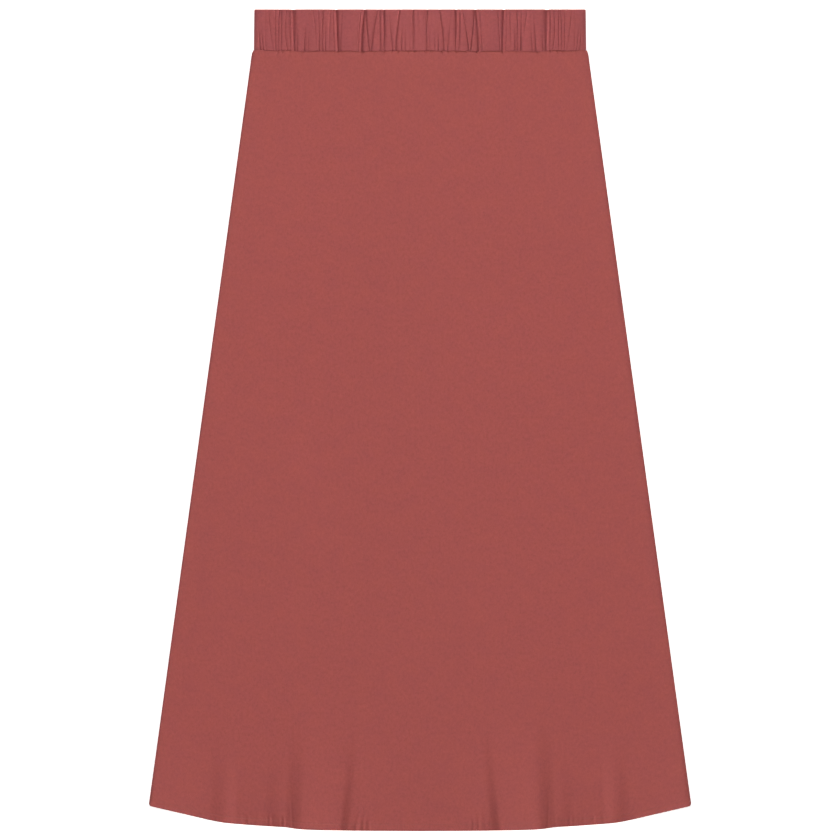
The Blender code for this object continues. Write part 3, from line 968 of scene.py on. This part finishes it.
class SKIRT_OT_waistband(bpy.types.Operator):
    """Add the waistband's gathered front and back, folded over their elastic"""

    bl_idname = "skirt.waistband"
    bl_label = "Add waistband"

    def execute(self, context):
        cloth = context.scene.skirt_cloth
        colours = context.scene.skirt_colours
        # The waistband's colours are the panels' cloth with painted shade of its gathers
        finish = cloth_finish("waistband crepe", colours.band_with_painted_shade, colours.band_cool_with_painted_shade, cloth)
        front = band_points(True, CREASES, *FRONT_BAND)
        back = band_points(False, back_creases(), *BACK_BAND)[:, ::-1]
        for name, points in (("front_waistband", front), ("back_waistband", back)):
            piece = add_sheet(name + "_cloth", points, cloth.thickness, finish)
            settle(piece, name)
        return {"FINISHED"}


class SKIRT_OT_hem_stitches(bpy.types.Operator):
    """Add the row of stitches that holds up each panel's hem"""

    bl_idname = "skirt.hem_stitches"
    bl_label = "Add hem stitches"

    def execute(self, context):
        stitches = context.scene.skirt_stitches
        finish = thread_finish(context.scene.skirt_colours.thread)
        for name, is_front, seed in (("front", True, FRONT_PANEL.seed), ("back", False, BACK_PANEL.seed)):
            piece = stitch_row(f"{name}_hem_stitches", is_front, seed, stitches)
            piece.data.materials.append(finish)
            settle(piece)
        return {"FINISHED"}


def stitch_row(name, is_front, seed, stitches):
    """Models one stitch, repeats it, and bends the row along the panel's hem."""
    share = np.linspace(-STITCHED, STITCHED, ROUTE_POINTS)
    columns = Columns(share, 0 * share, 0 * share)
    length = panel_lengths(columns)[None, :]
    drop = length - STITCH_LINE
    route = panel_surface(is_front, columns, drop, length - drop, 0 * drop, seed)[0]
    travelled = np.linalg.norm(np.diff(route, axis=0), axis=1).sum()

    line = bpy.data.curves.new("hem stitch line", "CURVE")
    line.dimensions = "3D"
    line.twist_mode = "Z_UP"
    spline = line.splines.new("POLY")
    spline.points.add(len(route) - 1)
    spline.points.foreach_set("co", np.hstack([route, np.ones((len(route), 1))]).ravel())
    guide = bpy.data.objects.new("hem stitch line", line)
    bpy.context.scene.collection.objects.link(guide)

    bpy.ops.object.select_all(action="DESELECT")
    middle = (stitches.pitch / 2, 0, 0)
    bpy.ops.mesh.primitive_uv_sphere_add(segments=6, ring_count=6, radius=0.5, location=middle)
    piece = bpy.context.object
    piece.name = piece.data.name = name
    piece.rotation_euler = (0, math.pi / 2, 0)
    piece.scale = (stitches.thread, stitches.thread, stitches.length)
    bpy.ops.object.transform_apply(location=True, rotation=True, scale=True)
    row = piece.modifiers.new("Row", "ARRAY")
    row.count = int(travelled / stitches.pitch)
    row.use_relative_offset = False
    row.use_constant_offset = True
    row.constant_offset_displace = (stitches.pitch, 0, 0)
    bend = piece.modifiers.new("Along the hem", "CURVE")
    bend.object = guide
    bpy.ops.object.modifier_apply(modifier=row.name)
    bpy.ops.object.modifier_apply(modifier=bend.name)
    bpy.ops.object.shade_smooth()
    bpy.data.objects.remove(guide)
    return piece


Lamp = namedtuple("Lamp", "name place aim width length spread power colour")


class SKIRT_OT_stage(bpy.types.Operator):
    """Add the pale floor, the studio lights and the camera above the skirt"""

    bl_idname = "skirt.stage"
    bl_label = "Add stage"

    def execute(self, context):
        stage = context.scene.skirt_stage
        bpy.ops.object.select_all(action="DESELECT")
        bpy.ops.mesh.primitive_plane_add(size=FLOOR_SIZE, location=(0, 0, FLOOR_Z))
        floor = context.object
        floor.name = "floor"
        finish = Finish("white floor")
        finish.set(Base_Color=(0.95, 0.95, 0.95, 1.0), Roughness=1.0, Specular_IOR_Level=0.0)
        finish.set(Emission_Color=(*WHITE, 1.0), Emission_Strength=FLOOR_GLOW)
        floor.data.materials.append(finish.material)

        world = bpy.data.worlds.new("studio")
        world.use_nodes = True
        sky = world.node_tree.nodes["Background"].inputs
        sky["Color"].default_value = (*WHITE, 1.0)
        sky["Strength"].default_value = stage.sky
        context.scene.world = world

        lamps = [
            Lamp("softbox", SOFTBOX_PLACE, SOFTBOX_AIM, *SOFTBOX_SIZE, SOFTBOX_SPREAD, stage.softbox, WHITE),
        ]
        for name, side in (("left half", -1), ("right half", 1)):
            aim = Vector((side * BEAM_AIM, 0, 0))
            away = Vector((-side * math.sin(BEAM_TILT), 0, math.cos(BEAM_TILT)))
            place = aim + BEAM_DISTANCE * away
            length = BEAM_LENGTH * math.cos(BEAM_TILT)
            lamps.append(Lamp(name, place, aim, BEAM_WIDTH, length, BEAM_SPREAD, stage.beams, WARM))
        for lamp in lamps:
            light = bpy.data.lights.new(lamp.name, "AREA")
            light.shape = "RECTANGLE"
            light.size = lamp.width
            light.size_y = lamp.length
            light.spread = math.radians(lamp.spread)
            light.energy = lamp.power
            light.color = lamp.colour
            holder = bpy.data.objects.new(lamp.name, light)
            holder.location = lamp.place
            holder.rotation_euler = (lamp.aim - lamp.place).to_track_quat("-Z", "Y").to_euler()
            holder.visible_camera = False
            context.scene.collection.objects.link(holder)

        lens = bpy.data.cameras.new("camera")
        lens.lens = stage.lens
        lens.sensor_width = 36
        lens.clip_end = 30
        camera = bpy.data.objects.new("camera", lens)
        camera.location = (*VIEW_CENTRE, FOCUS_HEIGHT + VIEW_WIDTH * stage.lens / lens.sensor_width)
        context.scene.collection.objects.link(camera)
        context.scene.camera = camera
        context.scene.view_settings.view_transform = "Standard"
        return {"FINISHED"}


class SKIRT_PT_skirt(bpy.types.Panel):
    """The skirt's pieces and their settings"""

    bl_idname = "SKIRT_PT_skirt"
    bl_label = "Flared midi skirt"
    bl_space_type = "VIEW_3D"
    bl_region_type = "UI"
    bl_category = "Skirt"

    def draw(self, context):
        for group in PROPERTY_GROUPS:
            settings = getattr(context.scene, group)
            box = self.layout.box()
            for name in settings.bl_rna.properties.keys():
                if name not in ("rna_type", "name"):
                    box.prop(settings, name)
        for operator in OPERATORS:
            self.layout.operator(operator.bl_idname)


PROPERTY_GROUPS = {
    "skirt_cloth": SkirtCloth,
    "skirt_colours": SkirtColours,
    "skirt_stitches": SkirtStitches,
    "skirt_stage": SkirtStage,
}
OPERATORS = (SKIRT_OT_panels, SKIRT_OT_waistband, SKIRT_OT_hem_stitches, SKIRT_OT_stage)


def register():
    for kind in (*PROPERTY_GROUPS.values(), *OPERATORS, SKIRT_PT_skirt):
        bpy.utils.register_class(kind)
    for name, group in PROPERTY_GROUPS.items():
        setattr(bpy.types.Scene, name, PointerProperty(type=group))


def unregister():
    for name in PROPERTY_GROUPS:
        delattr(bpy.types.Scene, name)
    for kind in (SKIRT_PT_skirt, *reversed(OPERATORS), *PROPERTY_GROUPS.values()):
        bpy.utils.unregister_class(kind)


def main():
    register()
    bpy.ops.skirt.panels()
    bpy.ops.skirt.waistband()
    bpy.ops.skirt.hem_stitches()
    bpy.ops.skirt.stage()


if __name__ == "__main__":
    main()
